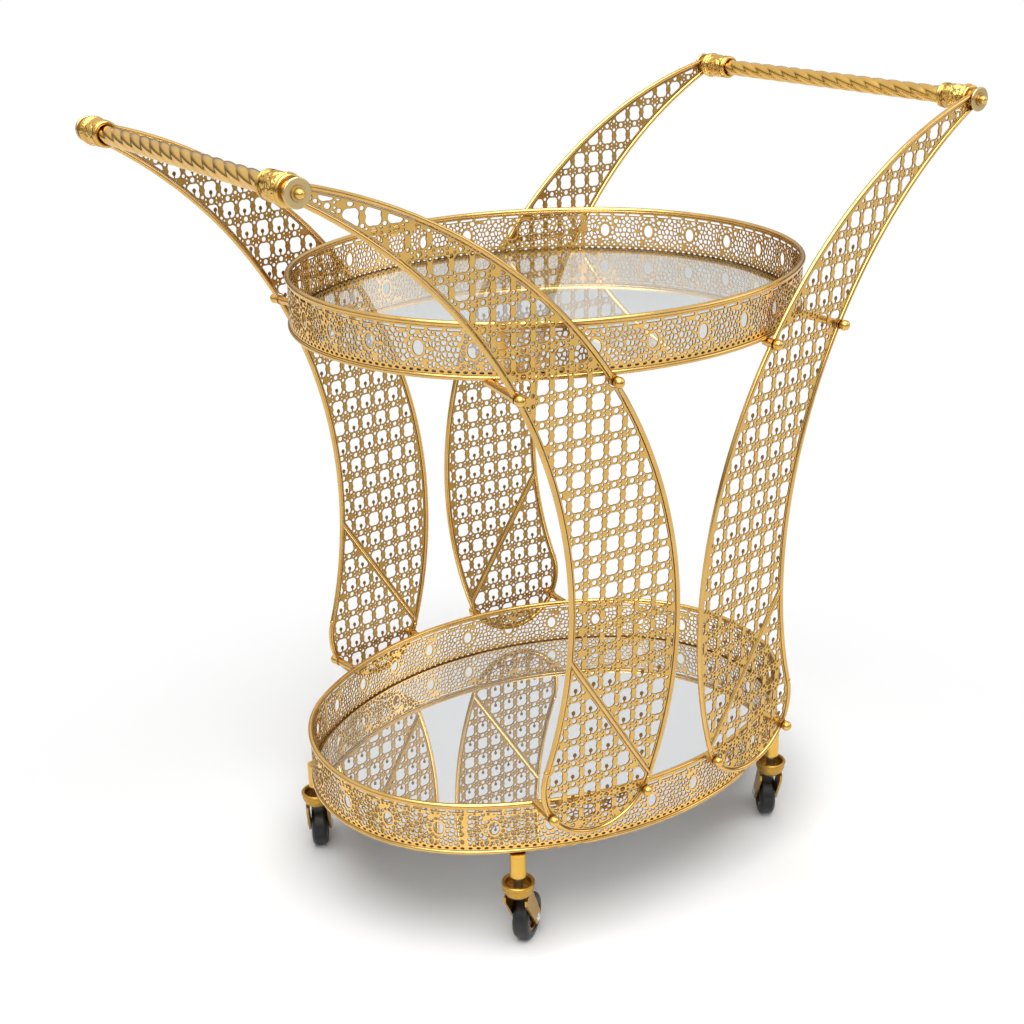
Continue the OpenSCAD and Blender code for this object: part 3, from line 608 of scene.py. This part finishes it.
# Most openings at least this long round hold a leaf, up to this height on each panel
leaf_opening = 40 * MM
leaf_height = {"fl": 0.33, "fr": 0.72, "bl": 0.85, "br": 0.6}
leaf_share = 0.75
chance = random.Random(5)
for corner in CORNERS:
    paint(wire_gold, "frame_" + corner)
    node = "sheet_" + corner
    widest = max(nodes[node].data.polygons, key=lambda f: f.area)
    outward = widest.normal.copy()
    if outward.y * (-1 if corner[0] == "f" else 1) < 0:
        outward.negate()
    across = Vector((0, 0, 1)).cross(outward).normalized()
    axes = np.array([tuple(across), tuple(outward.cross(across)), tuple(outward)])
    places = [np.array([tuple(p) for p in loop]) @ axes.T for loop in sheet_loops(node, outward)]
    level = places[0][0, 2] - sheet_thickness / 2
    outlines, openings, rings, leaves = [], [], [], []
    for ring in places:
        flat = ring[:, :2]
        length = np.linalg.norm(flat - np.roll(flat, 1, 0), axis=1).sum()
        if length > longest_opening:
            outlines.append(even_loop(flat, 1.6 * MM))
        else:
            opening = even_loop(flat, min(1.1 * MM, length / 14))
            low_enough = opening[:, 1].mean() < leaf_height[corner]
            if abs(length / (2 * math.pi * ring_hole) - 1) < 0.03:
                rings.append(opening.mean(0))
            elif length > leaf_opening and low_enough and chance.random() < leaf_share:
                opening, leaf = with_leaf(opening, chance.uniform(-1, 1) * MM)
                leaves.append(leaf)
            openings.append(opening)
    taken = np.concatenate(outlines + openings)
    for middle in rings:
        for shift in pin_places:
            pin = middle + shift
            free = np.linalg.norm(taken - pin, axis=1).min() > pin_hole + pin_wall
            if free and any(holds(outline, pin) for outline in outlines):
                openings.append(np.array(oval(pin[0], pin[1], pin_hole, pin_hole, 10)))
                taken = np.concatenate([taken, openings[-1]])
    mesh = pierced("lattice_" + corner, outlines, openings, sheet_thickness, sheet_edge,
                   lambda flat: (flat + (0, 0, level)) @ axes, lambda flat, way: way @ axes, None, leaves)
    lattice = added("lattice_" + corner, mesh, "frame", "gold_filigree", panel_gold, cut_shade_gold, inner_shade_gold)
    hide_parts(node)

# ---------------------------------------------------------------------------
# Handles: a polished bar with the twist of four strands, its ends held in cast collars
# chased with leaves, with a polished disc and an acorn screw outside each eye.
# ---------------------------------------------------------------------------


def turned(name, path, around, relief, x, z):
    """A body turned round the bar's axis at x and z. Path gives its places along the axis and its radii
    from one end to the other, and relief what is cut away at a place and an angle."""
    path = np.array(path)
    angles = np.arange(around) * 2 * math.pi / around
    along, angle = np.meshgrid(path[:, 0], angles, indexing="ij")
    radius = path[:, 1][:, None] - relief(along, angle)
    places = np.stack([x + radius * np.cos(angle), along, z + radius * np.sin(angle)], 2).reshape(-1, 3)
    here = np.arange(len(path) * around).reshape(len(path), around)
    after = np.roll(here, -1, 1)
    quads = np.stack([here[:-1], here[1:], after[1:], after[:-1]], 2).reshape(-1, 4)
    mesh = bpy.data.meshes.new(name)
    mesh.from_pydata(places.tolist(), [], quads.tolist() + [here[0].tolist(), here[-1, ::-1].tolist()])
    mesh.polygons.foreach_set("use_smooth", np.ones(len(mesh.polygons), bool))
    return mesh


# Its painted shade darkens the grooves between the strands and the hollows round the collars' leaves
rope_gold = gold_plate("rope_gold", (0.82, 0.50, 0.13, 1), (0.16, 0.065, 0.01, 1),
                       hollow=0.005, roughness=0.2, grain=0.00001)
disc_gold = gold_plate("disc_gold", (0.66, 0.50, 0.24, 1), (0.24, 0.13, 0.03, 1),
                       hollow=0.004, roughness=0.3, grain=0.00001)
paint(disc_gold, "discs")
lead = 86 * MM
strands = 4
strand_dip = 1.3 * MM
collar_length = 38 * MM
# A collar's outline from its bore to its screw: how far along and how far out, in millimetres
collar_outline = [(14, 0.3), (14, 9.2), (0.3, 9.2), (0, 9.6), (0, 11.4), (0.4, 12.2), (1.4, 12.7)]
collar_outline += [(2.4, 12.2), (2.8, 11.5), (3.2, 12.2), (4.2, 12.9), (5.2, 12.4), (5.8, 11.6)]
collar_outline += [(5.9 + i * 0.4, 12.9 + 0.5 * math.sin(i * math.pi / 55)) for i in range(56)]
collar_outline += [(28.3, 11.6), (28.8, 12.4)]
collar_outline += [(29 + i * 0.4, 13.0 + 1.4 * math.sin(i * math.pi / 11)) for i in range(12)]
collar_outline += [(33.8, 12.0), (34.2, 12.9), (35.2, 13.5), (36.6, 13.4), (37.7, 12.8), (38, 12.0)]
collar_outline += [(38, 0.3)]
leaf_rows = ((12.2, 0), (21.8, 0.5))
leaves_round = 4
leaf_half_length = 6.6
leaf_relief = 1.7
leaf_band = (6, 28)
beads_round = 30
bead_relief = 0.18
bead_band = (29, 33)


def strand_cut(along, angle):
    """Rounded strands with a groove between them."""
    return strand_dip * (2 * ((angle / (2 * math.pi) + along / lead) * strands % 1) - 1) ** 2


def collar_cut(rise, angle):
    """Two staggered rows of veined leaves, standing proud of the ground between them, and a beaded rim."""
    height = np.zeros_like(rise)
    for middle, offset in leaf_rows:
        across = (angle * leaves_round / (2 * math.pi) + offset) % 1 - 0.5
        up = (rise - middle) / leaf_half_length
        curl = across + 0.1 * np.sin(up * 3)
        dome = np.maximum(1 - (curl / 0.52) ** 2 - up ** 2, 0) ** 0.5
        veins = 1 - 0.45 * np.abs(np.sin(5.2 * (up + 2.2 * np.abs(curl)))) ** 2
        height = np.maximum(height, dome * veins * (1 - 0.4 * np.exp(-(curl / 0.05) ** 2)))
    beads = bead_relief * (1 + np.cos(angle * beads_round))
    on_leaf, on_bead = ((rise > low) & (rise < high) for low, high in (leaf_band, bead_band))
    return (np.where(on_leaf, leaf_relief * (1 - height), 0) + np.where(on_bead, beads, 0)) * MM


for side in ("left", "right"):
    low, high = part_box("rope_" + side)
    x, z = (low.x + high.x) / 2, (low.z + high.z) / 2
    bar_radius = (high.z - low.z) / 2
    steps = [(low.y + (high.y - low.y) * i / 300, bar_radius) for i in range(301)]
    twist = turned("twist_" + side, steps, 64, strand_cut, x, z)
    bar = added("twist_" + side, twist, "frame", "polished_gold", rope_gold)
    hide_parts("rope_" + side)

    low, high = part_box("collars_" + side)
    inner = high.y - collar_length
    for end, sign in (("front", -1), ("back", 1)):
        path = [(sign * (inner + rise * MM), out * MM) for rise, out in collar_outline]
        if sign > 0:
            path.reverse()
        name = "collar_" + side + "_" + end
        mesh = turned(name, path, 120, lambda y, angle: collar_cut((abs(y) - inner) / MM, angle), x, z)
        collar = added(name, mesh, "frame", "polished_gold", rope_gold)
        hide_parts("collars_" + side)

# ---------------------------------------------------------------------------
# Fasteners: acorn screws and ball-headed bolts, turned from brass bar, polished and plated.
# They hold the bars to the panels and the panels to both trays.
# ---------------------------------------------------------------------------

paint(rope_gold, "acorn_screws", "upper_bolts", "lower_bolts")

# ---------------------------------------------------------------------------
# Casters: pressed and plated steel forks that swivel on threaded stems, with die-cast gold
# hubs and black rubber tyres. Each stem is screwed into a sleeve under the lower tray.
# ---------------------------------------------------------------------------

caster_gold = gold_plate("caster_gold", (0.56, 0.32, 0.06, 1), (0.12, 0.05, 0.008, 1),
                         hollow=0.008, roughness=0.3, grain=0.00004)
sleeve_gold = gold_plate("sleeve_gold", (0.78, 0.47, 0.09, 1), (0.20, 0.08, 0.01, 1),
                         hollow=0.006, roughness=0.2, grain=0.00003)
steel = Finish("zinc_steel", Metallic=1.0)
zinc = steel.blend(steel.noise(60.0), (0.62, 0.62, 0.63, 1), (0.78, 0.78, 0.79, 1))
steel.set(Base_Color=zinc, Roughness=0.28)
rubber = Finish("tyre_rubber")
dust = rubber.noise(120.0, 4.0)
black = rubber.blend(dust.ramp(0.4, 0.8), (0.004, 0.004, 0.0045, 1), (0.013, 0.0125, 0.012, 1))
rubber.set(Base_Color=black, Roughness=dust.ramp(0.3, 0.7, 0.32, 0.48))
paint(sleeve_gold, "sleeves")
for corner in CORNERS:
    paint(caster_gold, "fork_" + corner, "hub_" + corner)
    paint(steel.material, "axle_" + corner, "stem_" + corner)
    paint(rubber.material, "tyre_" + corner)

# ---------------------------------------------------------------------------
# Studio: a white floor that keeps the soft shadow, a white surround, broad lamps and
# the camera.
# ---------------------------------------------------------------------------


class Surround(Finish):
    """The world's own finish."""

    def __init__(self):
        world = bpy.data.worlds.new("studio")
        bpy.context.scene.world = world
        world.use_nodes = True
        self.tree = world.node_tree
        self.shader = self.tree.nodes["Background"]


room_light = 0.16
surround = Surround()
seen = surround.node("ShaderNodeLightPath", {}, out="Is Camera Ray")
for ray in ("Is Glossy Ray", "Is Transmission Ray"):
    seen = seen.maths("MAXIMUM", seen, surround.node("ShaderNodeLightPath", {}, out=ray))
sky = surround.node("ShaderNodeTexCoord", {}, out="Generated")
height = surround.node("ShaderNodeSeparateXYZ", {}, sky, out="Z")
# What metal mirrors near the horizon is darker than overhead
mirrored = surround.node("ShaderNodeLightPath", {}, out="Is Glossy Ray")
dimmed = mirrored * (1 - height.ramp(0.02, 0.5, 0.15, 0.9))
surround.set(Color=(1, 1, 1, 1), Strength=seen.maths("MAXIMUM", seen, room_light) - dimmed)

floor_reach = 8.0
shadow_reach = 0.36
plain_white = 0.75
floor_mesh = bpy.data.meshes.new("floor")
floor_corners = [(x * floor_reach, y * floor_reach, 0) for x, y in ((-1, -1), (1, -1), (1, 1), (-1, 1))]
floor_mesh.from_pydata(floor_corners, [], [(0, 1, 2, 3)])
floor = bpy.data.objects.new("floor", floor_mesh)
bpy.context.scene.collection.objects.link(floor)
floor_paint = Finish("floor_white", Base_Color=(0.97, 0.97, 0.97, 1), Roughness=1.0)
floor_paint.set(Specular_IOR_Level=0.0)
from_cart = floor_paint.node(
    "ShaderNodeVectorMath", {"operation": "LENGTH"}, floor_paint.place(), out="Value")
# Beyond the shadow's reach the floor is plain white
glow = floor_paint.node("ShaderNodeEmission", {}, (1, 1, 1, 1), 1.0)
lit = Field(floor_paint, floor_paint.shader.outputs["BSDF"])
whiter = from_cart.ramp(shadow_reach, plain_white)
floor_shader = floor_paint.node("ShaderNodeMixShader", {}, whiter, lit, glow)
floor_paint.link(floor_shader, floor_paint.tree.nodes["Material Output"].inputs["Surface"])
floor_mesh.materials.append(floor_paint.material)


def lamp(name, place, aim, size, power):
    """A round white lamp that shines from its place towards its aim."""
    light = bpy.data.lights.new(name, "AREA")
    light.shape = "DISK"
    light.size = size
    light.energy = power
    thing = bpy.data.objects.new(name, light)
    thing.location = place
    thing.rotation_mode = "QUATERNION"
    thing.rotation_quaternion = (Vector(aim) - Vector(place)).to_track_quat("-Z", "Y")
    bpy.context.scene.collection.objects.link(thing)


lamp("key", (-1.8, -2.2, 2.6), (0, 0, 0.4), 1.6, 20)
lamp("fill", (2.4, -1.6, 1.8), (0, 0, 0.4), 1.8, 10)
lamp("top", (-0.55, -0.7, 2.8), (0, 0, 0), 2.8, 90)

azimuth = math.radians(-35.0)
elevation = math.radians(21.96)
roll = math.radians(-0.9)
distance = 1.7334
aim = Vector((-0.0505, 0, 0.4084))
level = math.cos(elevation)
back = Vector((math.sin(azimuth) * level, -math.cos(azimuth) * level, math.sin(elevation)))
right = Vector((math.cos(azimuth), math.sin(azimuth), 0))
up = back.cross(right)
cam_data = bpy.data.cameras.new("camera")
cam_data.sensor_width = 36
cam_data.lens = 56.64375
camera = bpy.data.objects.new("camera", cam_data)
camera.location = aim + back * distance
rolled_right = math.cos(roll) * right + math.sin(roll) * up
rolled_up = -math.sin(roll) * right + math.cos(roll) * up
camera.matrix_world = Matrix((
    (rolled_right.x, rolled_up.x, back.x, camera.location.x),
    (rolled_right.y, rolled_up.y, back.y, camera.location.y),
    (rolled_right.z, rolled_up.z, back.z, camera.location.z),
    (0, 0, 0, 1)))
bpy.context.scene.collection.objects.link(camera)
bpy.context.scene.camera = camera
bpy.context.scene.view_settings.view_transform = "Standard"
